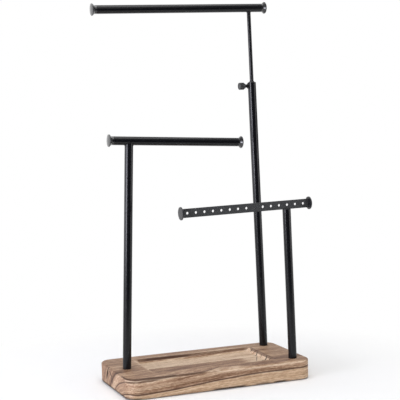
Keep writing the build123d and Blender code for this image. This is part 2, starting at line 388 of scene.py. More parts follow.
# Pale places in the wood's own colour, and two painted highlights: along the front arris and the tray's left rim
PALE_PLACES_AND_HIGHLIGHTS = {
    # Painted highlight: a pale band where the rounded front top arris catches the light
    "painted highlight right of the front arris": (1.0, "front", PAINTED_ARRIS_HIGHLIGHT),
    "left corner": (0.5, "anywhere", (("ring", 59.5, 61.5, 0), ("ring", 65.5, 63.5, 0), ("x", -60, -90, 0))),
    "under the left of the front arris": (
        0.7, "anywhere", (("z", 17.2, 18.4, 0), ("z", 22.9, 21.7, 0), ("x", -50, -66, 0), ("y", -38, -46, 0)),
    ),
    # Painted highlight: a pale line along the tray's rounded left rim
    "painted highlight on the tray's left rim": (
        0.7, "top", (("x", -77.9, -77.1, 0), ("x", -74.8, -75.6, 0), ("y", -39, -35, 0), ("y", 38, 34, 0)),
    ),
    "tray's left wall": (1.0, "inside", (*TRAY_WALLS, ("x", -71, -74, 0))),
    "tray's right wall": (0.8, "inside", (*TRAY_WALLS, ("x", 66, 72, 0))),
}

# The pale strip between the two dark lines along the front left arris
PALE_STRIP = (("z", 20.7, 21.1, 0), ("z", 22.3, 21.9, 0), ("x", -52, -66, 0), ("y", -40, -48, 0))

# Where the tray's far and right walls and rims are darkened: partly burnt by the cutter, partly painted shade
# under the rims and down the walls
BURN_AND_SHADE_HEIGHT = (("z", 20.1, 21.1, 0), ("z", 23.6, 22.6, 0))
BURN_AND_SHADE_SIDE = (("y", -39, -33, 0), ("y", 39, 33, 0))
BURN_AND_SHADE_FAR = {
    "wall": (
        1.0, "anywhere",
        (*BURN_AND_SHADE_HEIGHT, ("y", 33.9, 34.5, 0), ("y", 37.7, 37.1, 0), ("x", -76, -70, 0), ("x", 77, 71, 0)),
    ),
    "rim": (
        1.0, "top",
        (("y", 36.2, 37, 0.02), ("y", 38.3, 37.5, 0.02), ("x", -75, -69, 0), ("x", 77, 71, 0)),
    ),
}
BURN_AND_SHADE_RIGHT = {
    "wall": (0.7, "anywhere", (*BURN_AND_SHADE_HEIGHT, *BURN_AND_SHADE_SIDE, ("x", 73.3, 73.9, 0), ("x", 75.7, 75.1, 0))),
    "rim": (0.75, "top", (*BURN_AND_SHADE_SIDE, ("x", 74.2, 75, 0), ("x", 76.8, 76, 0))),
}

# Where oil and dirt have darkened the bottom edge in places, and how much darker the bottom arris is all along.
# FOOT is the edge itself.
FOOT = ("z", 3.8, 1.8, 0.04)
DIRT = {
    "middle": (0.9, "anywhere", (FOOT, ("x", -18, -8, 0), ("x", 33, 23, 0))),
    "right": (0.9, "anywhere", (FOOT, ("x", 59, 67, 0), ("x", 83, 75, 0))),
    "left corner": (0.81, "anywhere", (FOOT, ("x", -94, -102, 0))),
    "bottom arris": (0.35, "anywhere", (("z", 3, 1, 0),)),
}

# Drying cracks, in millimetres: middle, direction along the surface, direction into the wood, length,
# width and depth. Three are in the left end's grain, the others fan out on the tray's right end wall.
CRACKS = (
    ((-113, 21.5, 15.5), (0, 0.62, -1), (1, 0, 0), 19, 3.0, 3),
    ((-113, 9.5, 17.0), (0, -0.9, -1), (1, 0, 0), 12, 1.8, 2),
    ((-113, 4.5, 10.5), (0, -0.8, -1), (1, 0, 0), 10, 1.6, 2),
    ((70.5, 28.5, 21.4), (-0.5, 0.3, -1), (0.5, 0, -1), 6.5, 1.6, 2),
    ((72.0, 11.0, 20.4), (-0.6, -0.5, -1), (0.9, 0, -0.6), 8.0, 1.6, 2),
    ((66.5, -3.0, 18.3), (-0.5, -1, 0), (0, 0, -1), 26, 0.7, 1.2),
    ((72.4, -1.5, 20.8), (-0.6, -0.3, -1), (0.9, 0, -0.6), 6.0, 0.9, 2),
    ((72.0, -15.5, 20.4), (-0.6, -0.4, -1), (0.9, 0, -0.6), 7.5, 2.0, 2),
    ((65.5, -18.5, 18.3), (-0.8, -0.6, 0), (0, 0, -1), 12, 0.7, 1.2),
    ((71.8, -24.0, 20.4), (-0.6, 0.7, -1), (0.9, 0, -0.6), 7.0, 1.3, 2),
)


def band(value, low, high, soft):
    """1 between two limits and 0 outside them, with soft ends."""
    return value.ramp(low - soft, low + soft) * value.ramp(high + soft, high - soft)


def either(*masks):
    """The strongest of some masks."""
    strongest = masks[0]
    for mask in masks[1:]:
        strongest = strongest.at_least(mask)
    return strongest


def stretched(f, parts, scales, detail, roughness=0.5):
    """Noise whose marks run long where a part's scale is small."""
    scaled = [part * scale for part, scale in zip(parts, scales)]
    return f.noise(f.join(*scaled), 1.0, detail, roughness)


class WoodPlace:
    """Where a point of the block lies: its place in millimetres, its ring's radius, and its main masks."""

    def __init__(self, f):
        x, y, z = f.split(f.place())
        sway = stretched(f, (x, y, z), (0.016, 0.03, 0.03), 1.0) - 0.5
        lift = f.noise(f.join(x * 0.011 + 31, y * 0.02, z * 0.03), 1.0, detail=1.0) - 0.5
        climb = x.ramp(CLIMB_START, CLIMB_END) * RINGS_CLIMB + y.ramp(DROP_START, DROP_END) * RINGS_DROP
        off_y = y - HEART_Y + sway * HEART_SWAY
        off_z = z - HEART_Z + lift * HEART_SWAY
        ring = (off_y * off_y + off_z * off_z).root() - climb
        rag = (stretched(f, (x, ring, y), (0.02, 0.4, 0.06), 3.0) - 0.5) * RAGGED
        self.x, self.y, self.z, self.ring, self.rag = x, y, z, ring, rag
        self.coordinates = {"x": x, "y": y, "z": z, "ring": ring}

        # Faces of the block; inside is what lies within the tray's mouth
        top = z.ramp(20.5, 22.6)
        inside = band(x, -76, 76, 0.5) * band(y, -38, 38, 0.5)
        ends = either(x.ramp(-110, -112.5), x.ramp(110, 112.5))
        self.faces = {
            "anywhere": 1,
            "top": top,
            "front": y.ramp(-53, -56.5),
            "ends": ends,
            "end faces": ends * ends,
            "inside": inside,
        }

        # The dark strip along the top's front ends at a wavy shore, and the tray's floor is half dark
        self.shore = band(x, -12, 30, 16) * 13 - 57.5
        strip_back = y + rag * 0.2 + x.ramp(-100, -60) * 8
        self.strip = top * (y - self.shore + rag * 0.10).ramp(-1.2, 1.2) * strip_back.ramp(-7, -12)
        self.floor = z.ramp(19.4, 18.5) * inside
        self.near_floor = self.floor * (y - x * 0.02 + rag * 0.25).ramp(6.5, 3.5) * (x + rag).ramp(58, 40)

    def patch(self, face, edges):
        """Mask of one patch: its face times its edges."""
        mask = self.faces[face]
        for coordinate, absent, full, ragged in edges:
            value = self.coordinates[coordinate]
            if ragged:
                value = value + self.rag * ragged
            mask = mask * value.ramp(absent, full)
        return mask

    def strongest(self, table):
        """The strongest of a table's patches."""
        return either(*(self.patch(face, edges) * strength for strength, face, edges in table.values()))


def heartwood(p):
    """How dark the heartwood is: stretches with ragged ends, on the top, the tray's floor and the front."""
    return either(p.strongest(HEARTWOOD), p.strip * 0.85, p.near_floor)


def pale_wood_and_highlights(p):
    """How pale the palest places are, with painted highlights on the front arris and the tray's left rim: arrises,
    a wedge on the top, and the tray's floor and end walls.
    """
    wedge = p.faces["top"] * (p.shore - p.y + p.rag * 0.05).ramp(0.3, 1.5)
    far_floor = p.floor * (1 - p.near_floor)
    return either(p.strongest(PALE_PLACES_AND_HIGHLIGHTS), wedge * 0.9, far_floor * 0.95)


def dark_lines(f, p):
    """Dark ring lines, which thin out and swell, the strip's shore, and two lines by the front left arris."""
    x, y, z, ring, rag = p.x, p.y, p.z, p.ring, p.rag
    swell = f.noise(f.join(x * 0.06, ring * 0.05, 5.0), 1.0, detail=2.0) + 0.5
    wander = (f.noise(f.join(x * 0.03, y * 0.03, 9.0), 1.0, detail=2.0) - 0.5) * 0.8
    lines = p.strip * (y - p.shore).ramp(4.5, 2.0) * x.ramp(20, -20) * 0.8
    for radius, width, strength, left, right in DARK_RINGS:
        gap = (ring + wander - radius).size() / swell
        line = gap.ramp(width * 1.8, width * 0.4) * band(x + rag * 0.3, left, right, 6) * strength
        lines = either(lines, line)

    # The first line keeps just inside the top's outline, round the corner; the second is below it
    corner_x = (-99 - x).at_least(0)
    corner_y = (-40.5 - y).at_least(0)
    reach = (corner_x * corner_x + corner_y * corner_y).root()
    first_line = z.ramp(22.1, 22.5) * reach.ramp(12.0, 13.0) * x.ramp(-46, -60) * y.ramp(-26, -36)
    above = z - x * SECOND_LINE_RISE - SECOND_LINE_HEIGHT + x.ramp(-94, -110) * SECOND_LINE_DIP + rag * 0.01
    second_line = band(above, -SECOND_LINE_HALF, SECOND_LINE_HALF, 0.2) * x.ramp(-50, -62) * y.ramp(-44, -50)
    return either(lines * (1 - p.faces["inside"]), first_line, second_line * 0.9)


def burn_and_painted_shade_rim(p):
    """Burn marks of the cutter and painted shade along the tray's rims and walls, most of all at the far left."""
    far_left_weight = band(p.x, -64, -4, 8) * 0.42 + 0.56
    return either(p.strongest(BURN_AND_SHADE_FAR) * far_left_weight, p.strongest(BURN_AND_SHADE_RIGHT))


def painted_crack_shade(f, p):
    """Painted shade in and beside each drying crack: the crack and the wood next to it are made dark."""
    crack_shades = []
    for middle, along, into, length, width, _ in CRACKS:
        spot = f.join(p.x - middle[0], p.y - middle[1], p.z - middle[2])
        long_way = Vector(along).normalized()
        down = Vector(into).normalized()
        side = down.cross(long_way).normalized()
        along_crack = f.dot(spot, long_way).size()
        across = f.dot(spot, side).size() + along_crack * (width / length)
        # The crack's painted shade: dark within its width, along most of its length and near its surface
        stain = across.ramp(width * 1.2, width * 0.35) * along_crack.ramp(length * 0.62, length * 0.42)
        crack_shades.append(stain * f.dot(spot, down).size().ramp(3.0, 1.5))
    return either(*crack_shades)


def dirt(f, p):
    """Where oil and dirt darken the bottom edge in places and the left corner; the arrises are also a little
    darker all along.
    """
    smudge = f.noise(f.join(p.x * 0.03, 3.0, 0.0), 1.0, detail=2.0).ramp(0.52, 0.64)
    smudges = p.patch("anywhere", (FOOT,)) * smudge * 0.63
    # The darker top arris stops where the painted highlight lies
    top_arris = band(p.z, 21.6, 23.1, 0.2) * (1 - p.faces["inside"]) * (1 - p.patch("front", PAINTED_ARRIS_HIGHLIGHT))
    return either(p.strongest(DIRT), smudges, top_arris * 0.22)


def wood():
    """Oiled, wide-ringed wood whose rings are round the tree's heart, so that they meet at every edge."""
    f = Finish("oiled_wood")
    p = WoodPlace(f)
    x, y, z, ring = p.x, p.y, p.z, p.ring

    # Rings and fibres, drawn out along the grain
    wide = stretched(f, (ring, x, y), (0.16, 0.005, 0.0), 1.0, 0.4)
    narrow = stretched(f, (ring, x, y), (0.55, 0.012, 0.02), 3.0, 0.65)
    streak = stretched(f, (ring, x, y), (1.8, 0.045, 0.3), 4.0, 0.72)
    fleck = stretched(f, (x, y, z), (0.22, 0.9, 0.9), 3.0, 0.7)
    grain = wide * 0.25 + narrow * 0.80 + streak * 0.85 + fleck * 0.60 - 0.75
    tone = grain * GRAIN_CONTRAST + TONE_SHIFT - heartwood(p) * HEARTWOOD_DROP + pale_wood_and_highlights(p) * PALE_RISE
    colour = f.add("ValToRGB", {0: tone}, stops=WOOD_STOPS)

    # Sapwood under the lowest line is yellower
    sapwood = p.faces["front"] * (ring - (LOWEST_RING - 0.5)).ramp(0, -1.0)
    colour = f.mix(sapwood * 0.22, colour, SAP_WOOD)
    colour = f.mix(p.patch("anywhere", PALE_STRIP) * 0.6, colour, PALE_WOOD)
    lines = dark_lines(f, p)
    colour = f.mix(lines * 0.85, colour, RING_LINE)
    # Burn marks and painted shade along the tray's far and right rims and walls
    colour = f.mix(burn_and_painted_shade_rim(p) * 0.95, colour, RING_LINE)
    # Painted shade in and beside the drying cracks
    colour = f.mix(painted_crack_shade(f, p) * 0.9, colour, CRACK_DARK)

    # Pores: short dark dashes along the grain
    pores = stretched(f, (x, y, z), (0.20, 1.9, 1.9), 3.0, 0.7).ramp(0.58, 0.70)
    colour = f.mix(pores * 0.38, colour, DEEP_WOOD)
    # Dirt on the bottom edge in places, and arrises a little darker all along
    colour = f.mix(dirt(f, p), colour, CRACK_DARK)

    relief = streak * 0.4 + narrow * 0.2 + (1 - lines) * 0.25 + (1 - pores) * 0.15
    f.bump(relief, 0.35 * MM, 0.6)
    return f.set(Base_Color=colour, Roughness=0.50 + narrow * 0.16, Specular_IOR_Level=0.3)


# ---------------------------------------------------------------- metal, plastic and rubber
def coated_metal(name, colour, roughness, grain, depth, gloss=0.5, lacquer=0.0):
    """Powder coat: dark, with a fine orange-peel skin and a faint change of gloss."""
    f = Finish(name)
    place = f.place()
    peel = f.noise(place, grain, detail=2.0, roughness=0.5)
    cloud = f.noise(place, 0.05, detail=2.0)
    tint = f.mix(cloud * 0.5 + peel * 0.2, colour, tuple(channel * 1.5 for channel in colour))
    f.bump(peel, depth, 0.5)
    f.set(Coat_Weight=lacquer, Coat_Roughness=0.14, Specular_IOR_Level=gloss)
    return f.set(Base_Color=tint, Roughness=cloud * 0.08 + roughness - 0.04)


def turned_metal(name, colour, roughness, metallic):
    """Bright or blackened steel with fine marks of the tool."""
    f = Finish(name)
    place = f.place()
    marks = f.noise(place, 5.0, detail=3.0, roughness=0.7)
    stain = f.noise(place, 0.3, detail=2.0)
    tint = f.mix(stain, colour, tuple(channel * 0.72 for channel in colour))
    f.bump(marks, 0.02 * MM, 0.5)
    return f.set(Base_Color=tint, Roughness=marks * 0.16 + roughness - 0.08, Metallic=metallic)


def moulded(name, colour, roughness, grain):
    """Nylon or rubber with a fine eroded skin."""
    f = Finish(name)
    place = f.place()
    skin = f.noise(place, grain, detail=3.0, roughness=0.6)
    cloud = f.noise(place, 0.2, detail=2.0)
    tint = f.mix(cloud, colour, tuple(channel * 1.6 for channel in colour))
    f.bump(skin, 0.05 * MM, 0.6)
    return f.set(Base_Color=tint, Roughness=skin * 0.15 + roughness - 0.07)


finish_wood = wood()
finish_tube = coated_metal("satin_black_coat", (0.0040, 0.0041, 0.0054), 0.21, 1.2, 0.0015 * MM, 0.30)
finish_cap = coated_metal("satin_black_caps", (0.006, 0.006, 0.0075), 0.28, 1.2, 0.004 * MM, 0.5, 0.8)
finish_disc = coated_metal("satin_black_discs", (0.010, 0.010, 0.012), 0.38, 1.2, 0.006 * MM, 0.5, 0.1)
finish_flat = coated_metal("matt_grey_coat", (0.026, 0.027, 0.029), 0.62, 1.6, 0.03 * MM)
finish_knob = coated_metal("black_knob_coat", (0.030, 0.031, 0.032), 0.45, 2.0, 0.02 * MM)
finish_steel = turned_metal("zinc_plated_steel", srgb(188, 190, 192), 0.36, 1.0)
finish_dark_steel = turned_metal("blackened_steel", srgb(64, 64, 66), 0.42, 1.0)
finish_nylon = moulded("black_nylon", (0.016, 0.016, 0.017), 0.55, 3.0)
finish_rubber = moulded("black_rubber", (0.022, 0.022, 0.022), 0.78, 4.0)

cad_finishes = {
    "pad": finish_rubber,
    "coated_tube": finish_tube,
    "coated_cap": finish_cap,
    "flat_bar": finish_flat,
    "black_knob": finish_knob,
    "plastic": finish_nylon,
    "steel": finish_steel,
    "dark_steel": finish_dark_steel,
    "wood": finish_wood,
}
for subpart in frame["record"]["subparts"]:
    dress(nodes[subpart["node"]], cad_finishes[subpart["material_slot"]])
for disc in ("earring_bar_disc_left", "earring_bar_disc_right"):
    dress(nodes[disc], finish_disc)


# ---------------------------------------------------------------- wooden block
def rounded_block():
    """The sawn block with its corners rounded and its edges broken."""
    deselect()
    bpy.ops.mesh.primitive_cube_add(size=1, location=(block_low + block_high) / 2, scale=block_size)
    block = named("wooden_block")
    settle(block)

    def upright_edge(edge):
        first, second = ends_of(block, edge)
        return abs(first.z - second.z) > block_size.z / 2

    def rim(level):
        return lambda edge: all(abs(end.z - level) < TOLERANCE for end in ends_of(block, edge))

    pick(block, "EDGE", upright_edge)
    bevel(CORNER_RADIUS * MM, 14)
    bpy.ops.object.mode_set(mode="OBJECT")
    pick(block, "EDGE", rim(block_high.z))
    bevel(TOP_EDGE_RADIUS * MM, 6)
    bpy.ops.object.mode_set(mode="OBJECT")
    pick(block, "EDGE", rim(block_low.z))
    bevel(BOTTOM_EDGE_RADIUS * MM, 4)
    bpy.ops.object.mode_set(mode="OBJECT")
    return block


# The tray's cutter: steps in each rounding of its section, how far it flares and rises above the block's
# top, in millimetres, and how much of an inset its corners' radius loses
TRAY_STEPS = 4
TRAY_FLARE, TRAY_RISE = 0.3, 3.0
CORNER_LOSS = 0.3


def tray_profile():
    """The tray's section from its floor up: how far in from the mouth, and how far down, in millimetres."""
    lean = atan2(TRAY_WALL_RUN, TRAY_SINK)
    turn = pi / 2 - lean
    reach = TRAY_COVE * tan(turn / 2)
    section = []
    for step in range(TRAY_STEPS + 1):
        angle = turn * step / TRAY_STEPS
        inset = TRAY_WALL_RUN + reach - TRAY_COVE * sin(angle)
        section.append((inset, TRAY_SINK - TRAY_COVE * (1 - cos(angle))))
    rim_reach = TRAY_RIM_RADIUS * tan(turn / 2)
    for step in range(TRAY_STEPS + 1):
        angle = turn * (1 - step / TRAY_STEPS)
        section.append((TRAY_RIM_RADIUS * sin(angle) - rim_reach, TRAY_RIM_RADIUS * (1 - cos(angle))))
    return section


def tray_cutter():
    """What the tray is cut out with: a rounded plate drawn up through the tray's section."""
    section = tray_profile()
    inset, depth = section[0]
    length, width = TRAY_LENGTH - 2 * inset, TRAY_DEPTH - 2 * inset
    deselect()
    bpy.ops.mesh.primitive_plane_add(size=1, location=(0, 0, block_top - depth * MM))
    cutter = named("tray_cutter")
    cutter.scale = (length * MM, width * MM, 1)
    settle(cutter)
    bpy.ops.object.mode_set(mode="EDIT")
    bpy.ops.mesh.select_all(action="SELECT")
    corner_radius = TRAY_CORNER_RADIUS - inset * CORNER_LOSS
    bpy.ops.mesh.bevel(offset=corner_radius * MM, segments=10, affect="VERTICES")
    above = (section[-1][0] - TRAY_FLARE, -TRAY_RISE)
    for next_inset, next_depth in (*section[1:], above):
        rise = (depth - next_depth) * MM
        bpy.ops.mesh.extrude_region_move(TRANSFORM_OT_translate={"value": (0, 0, rise)})
        next_length, next_width = TRAY_LENGTH - 2 * next_inset, TRAY_DEPTH - 2 * next_inset
        bpy.ops.transform.resize(value=(next_length / length, next_width / width, 1))
        depth, length, width = next_depth, next_length, next_width
    bpy.ops.mesh.select_all(action="SELECT")
    bpy.ops.mesh.normals_make_consistent(inside=False)
    bpy.ops.object.mode_set(mode="OBJECT")
    return cutter


# How far a crack's blade stands out of the wood, as a share of the crack's depth
BLADE_PROUD = 0.3


def crack_blade(middle, along, into, length, width, depth):
    """Blade for a drying crack: widest at its middle and at the surface, and sharp at its ends and tip."""
    deselect()
    bpy.ops.mesh.primitive_cone_add(vertices=4, radius1=1, radius2=0, depth=1)
    blade = named("crack")
    long_way = Vector(along).normalized()
    down = Vector(into).normalized()
    side = down.cross(long_way).normalized()
    long_way = side.cross(down)
    turn = Matrix((long_way, side, down)).transposed().to_4x4()
    blade_depth = 1 + BLADE_PROUD
    size = Matrix.Diagonal((length / 2 * MM, width / 2 * MM, depth * blade_depth * MM, 1))
    lift = Matrix.Translation((0, 0, 0.5 - BLADE_PROUD / blade_depth))
    blade.matrix_world = Matrix.Translation(Vector(middle) * MM) @ turn @ size @ lift
    bpy.ops.object.transform_apply(location=True, rotation=True, scale=True)
    bpy.ops.object.mode_set(mode="EDIT")
    bpy.ops.mesh.select_all(action="SELECT")
    bpy.ops.mesh.normals_make_consistent(inside=False)
    bpy.ops.object.mode_set(mode="OBJECT")
    return blade


# How far the feet's cutters run past the block, in millimetres
CUT_OVERRUN = 5


def foot_cutters():
    """Sockets, screw holes and counterbores under the three uprights, and the pads' recesses."""
    cutters = []
    height = block_size.z
    for foot, lean in ((LEFT_FOOT, LEFT_LEAN), (MAST_FOOT, MAST_LEAN), (FRONT_FOOT, FRONT_LEAN)):
        radius = SOCKET_RADIUS if foot == MAST_FOOT else SOCKET_RADIUS - SLIMMER_SOCKETS
        bores = (
            (radius, -SOCKET_DEPTH * MM, CUT_OVERRUN * MM),
            (SCREW_HOLE_RADIUS, -height, 0),
            (COUNTERBORE_RADIUS, -height - CUT_OVERRUN * MM, -height + COUNTERBORE_DEPTH * MM),
        )
        for bore_radius, bottom, top in bores:
            middle = upright(foot, lean, (bottom + top) / 2)
            cutters.append(rod(bore_radius * MM, top - bottom, middle))
    pads_low, pads_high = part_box("base_pads")
    for x in (pads_low.x + PAD_RADIUS * MM, pads_high.x - PAD_RADIUS * MM):
        for y in (pads_low.y + PAD_RADIUS * MM, pads_high.y - PAD_RADIUS * MM):
            middle = Matrix.Translation((x, y, block_low.z))
            cutters.append(rod(PAD_RECESS_RADIUS * MM, 2 * PAD_RECESS * MM, middle))
    return cutters


def wooden_block():
    """The whole block: its tray, the bores and recesses from below, and the drying cracks."""
    block = rounded_block()
    cut(block, [tray_cutter()])
    for cutter in foot_cutters():
        cut(block, [cutter])
    for crack in CRACKS:
        cut(block, [crack_blade(*crack)])
    smooth(block, 30)
    dress(block, finish_wood)
    mount(block, "stand", "wood", "wood_base")


wooden_block()

# ---------------------------------------------------------------- flat earring bar
# Millimetres. The strip's ends are measured along it from its post.
BAR_HEIGHT = 181.4
STRIP_LEFT, STRIP_RIGHT = -131.1, 28.6
STRIP_WIDTH, STRIP_THICKNESS = 10.2, 2.0
HOLE_COUNT, HOLE_SPACING, HOLE_RADIUS = 15, 10.4, 1.5
STRIP_EDGE = 0.22


def pierced_bar():
    """Flat bar with a row of holes, its edges and the holes' rims broken."""
    length, middle = STRIP_RIGHT - STRIP_LEFT, (STRIP_LEFT + STRIP_RIGHT) / 2
    deselect()
    bpy.ops.mesh.primitive_cube_add(size=1, scale=(length * MM, STRIP_THICKNESS * MM, STRIP_WIDTH * MM))
    bar = named("pierced_flat_bar")
    settle(bar)
    holes = []
    for index in range(HOLE_COUNT):
        along = (index - (HOLE_COUNT - 1) / 2) * HOLE_SPACING * MM
        turned = Matrix.Translation((along, 0, 0)) @ Matrix.Rotation(pi / 2, 4, "X")
        holes.append(rod(HOLE_RADIUS * MM, 3 * STRIP_THICKNESS * MM, turned, 32))
    cut(bar, holes)
    bpy.ops.object.mode_set(mode="EDIT")
    bpy.ops.mesh.select_mode(type="EDGE")
    bpy.ops.mesh.select_all(action="DESELECT")
    bpy.ops.mesh.edges_select_sharp(sharpness=radians(60))
    bevel(STRIP_EDGE * MM, 2)
    bpy.ops.object.mode_set(mode="OBJECT")
    settle(bar, upright(FRONT_FOOT, FRONT_LEAN, BAR_HEIGHT * MM, middle * MM))
    smooth(bar, 40)
    dress(bar, finish_flat)
    mount(bar, "stand", "flat_bar", "earring_bar")


pierced_bar()

# ---------------------------------------------------------------- clamp screw
# Millimetres. Lengths along the screw are measured from the mast's axis.
KNOB_RADIUS, KNOB_NECK_RADIUS = 4.3, 2.5
KNOB_START, KNOB_CONE, KNOB_GRIP = 8.9, 2.4, 5.8
KNOB_EDGE, KNOB_SHOULDER = 0.5, 0.25
DISH_RIM, DISH_SLOPE, DISH_DEPTH = 0.7, 0.5, 0.35
KNURL_COUNT, KNURL_DEPTH, KNURL_LAND = 60, 0.28, 0.07
STUD_RADIUS, STUD_TIP, STUD_END = 2.0, 2.41, 13.9
THREAD_PITCH, THREAD_DEPTH = 0.7, 0.38

# The thread's ridge: its size and seat as shares of the pitch and depth, and where it starts on the stud
RIDGE_WIDTH, RIDGE_DEPTH, RIDGE_SEAT = 0.58, 0.72, 0.75
RIDGE_START = 0.5
RIDGE_STEPS = 28
clamp_side = Matrix.Translation(clamp_point) @ clamp_out.to_track_quat("Z", "Y").to_matrix().to_4x4()


def clamp_knob():
    """Turned knob: neck, cone, and a knurled grip with a dished face."""
    deselect()
    grip_middle = (KNOB_START + KNOB_CONE + KNOB_GRIP / 2) * MM
    bpy.ops.mesh.primitive_cylinder_add(
        vertices=KNURL_COUNT, radius=KNOB_RADIUS * MM, depth=KNOB_GRIP * MM, location=(0, 0, grip_middle)
    )
    knob = named("knurled_knob")
    settle(knob)
    inner = (KNOB_START + KNOB_CONE) * MM
    outer = (KNOB_START + KNOB_CONE + KNOB_GRIP) * MM

    # Cone and neck, drawn out of the inner face
    pick(knob, "FACE", lambda face: face.normal.z < -0.9)
    bpy.ops.mesh.inset(thickness=KNOB_SHOULDER * MM)
    bpy.ops.mesh.extrude_region_move(TRANSFORM_OT_translate={"value": (0, 0, -KNOB_CONE * MM)})
    shrink = KNOB_NECK_RADIUS / (KNOB_RADIUS - KNOB_SHOULDER)
    bpy.ops.transform.resize(value=(shrink, shrink, 1))
    bpy.ops.object.mode_set(mode="OBJECT")

    # Broken rims, and a shallow dish in the outer face
    outside = (KNOB_RADIUS - 0.1) * MM

    def on_rim(edge):
        ends = ends_of(knob, edge)
        return any(
            all(abs(end.z - rim) < TOLERANCE and end.xy.length > outside for end in ends)
            for rim in (inner, outer)
        )

    pick(knob, "EDGE", on_rim)
    bevel(KNOB_EDGE * MM, 3)
    bpy.ops.object.mode_set(mode="OBJECT")
    pick(knob, "FACE", lambda face: face.normal.z > 0.99 and len(face.vertices) > KNURL_COUNT / 3)
    bpy.ops.mesh.inset(thickness=DISH_RIM * MM)
    bpy.ops.mesh.inset(thickness=DISH_SLOPE * MM, depth=-DISH_DEPTH * MM)
    bpy.ops.object.mode_set(mode="OBJECT")

    # Knurl: every other of the grip's long faces is sunk
    def groove(face):
        long_face = face.normal.xy.length > 0.99 and face.area > 0.8 * MM * MM
        number = atan2(face.center.y, face.center.x) / (2 * pi) * KNURL_COUNT - 0.5
        return long_face and round(number) % 2 == 0

    pick(knob, "FACE", groove)
    bpy.ops.mesh.inset(thickness=KNURL_LAND * MM, depth=-KNURL_DEPTH * MM, use_individual=True)
    bpy.ops.object.mode_set(mode="OBJECT")
    settle(knob, clamp_side)
    smooth(knob, 28)
    dress(knob, finish_knob)
    mount(knob, "clamp_screw", "black_knob", "clamp_knob")


def clamp_stud():
    """Stud with a real helical thread: a core, and a ridge wound round it."""
    length = STUD_END - STUD_TIP
    core_radius = STUD_RADIUS - THREAD_DEPTH
    core = rod(core_radius * MM, length * MM, Matrix.Translation((0, 0, (STUD_TIP + STUD_END) / 2 * MM)))
    core.name = "threaded_stud"
    deselect()
    bpy.ops.mesh.primitive_circle_add(vertices=3, radius=1, fill_type="NOTHING", rotation=(pi / 2, pi / 2, 0))
    ridge = named("thread_ridge")
    ridge.scale = (THREAD_PITCH * RIDGE_WIDTH * MM, THREAD_DEPTH * MM * RIDGE_DEPTH, 1)
    ridge.location = ((STUD_RADIUS - THREAD_DEPTH * RIDGE_SEAT) * MM, 0, (STUD_TIP + RIDGE_START) * MM)
    settle(ridge)
    screw = ridge.modifiers.new("thread", "SCREW")
    screw.axis = "Z"
    screw.angle = 2 * pi
    screw.screw_offset = THREAD_PITCH * MM
    screw.iterations = int((length - 2 * RIDGE_START) / THREAD_PITCH)
    screw.steps = RIDGE_STEPS
    screw.render_steps = RIDGE_STEPS
    bpy.ops.object.modifier_apply(modifier=screw.name)
    bpy.ops.object.mode_set(mode="EDIT")
    bpy.ops.mesh.select_all(action="SELECT")
    bpy.ops.mesh.remove_doubles(threshold=0.001 * MM)
    bpy.ops.mesh.fill_holes(sides=0)
    bpy.ops.mesh.select_all(action="SELECT")
    bpy.ops.mesh.normals_make_consistent(inside=False)
    bpy.ops.object.mode_set(mode="OBJECT")

    # The ridge's crest stays within the stud's radius
    limit = STUD_RADIUS * MM
    for corner in ridge.data.vertices:
        reach = corner.co.xy.length
        if reach > limit:
            corner.co.xy *= limit / reach
    activate(core)
    ridge.select_set(True)
    bpy.ops.object.join()
    settle(core, clamp_side)
    smooth(core, 40)
    dress(core, finish_dark_steel)
    mount(core, "clamp_screw", "dark_steel", "clamp_stud")


clamp_knob()
clamp_stud()

# ---------------------------------------------------------------- weld beads
# Millimetres
BAR_RADIUS = 5.0
LEFT_BAR_HEIGHT, TOP_BAR_HEIGHT = 260.8, 416.9
POST_BEAD_RADIUS, POST_BEAD_THICKNESS = 4.75, 0.75
ROD_BEAD_RADIUS, ROD_BEAD_THICKNESS = 2.35, 0.5
BEAD_REACH = BAR_RADIUS - 0.05
RIPPLE_COUNT, RIPPLE_DEPTH = 26, 0.05
SEAM_HALF_SIZE = (3.9, 0.62, 0.5)
SEAM_OUT, SEAM_UP = 0.1, 0.05


def saddle_bead(name, ring_radius, thickness, matrix, body):
    """Weld bead round an upright's top, where it meets the round bar that lies across it."""
    deselect()
    bpy.ops.mesh.primitive_torus_add(
        major_radius=ring_radius * MM, minor_radius=thickness * MM, major_segments=72, minor_segments=12
    )
    bead = named(name)
    for corner in bead.data.vertices:
        angle = atan2(corner.co.y, corner.co.x)
        across = min(ring_radius * abs(sin(angle)), BEAD_REACH)
        ripple = 1 + RIPPLE_DEPTH * sin(angle * RIPPLE_COUNT)
        ring = Vector((cos(angle), sin(angle), 0)) * ring_radius * MM
        corner.co = ring + (corner.co - ring) * ripple
        corner.co.z -= sqrt(BAR_RADIUS ** 2 - across ** 2) * MM
    settle(bead, matrix)
    smooth(bead, 60)
    dress(bead, finish_tube)
    mount(bead, body, "coated_tube")


left_joint = upright(LEFT_FOOT, LEFT_LEAN, LEFT_BAR_HEIGHT * MM)
top_joint = upright(MAST_FOOT, MAST_LEAN, TOP_BAR_HEIGHT * MM)
saddle_bead("left_weld", POST_BEAD_RADIUS, POST_BEAD_THICKNESS, left_joint, "stand")
saddle_bead("top_weld", ROD_BEAD_RADIUS, ROD_BEAD_THICKNESS, top_joint, "top_arm")


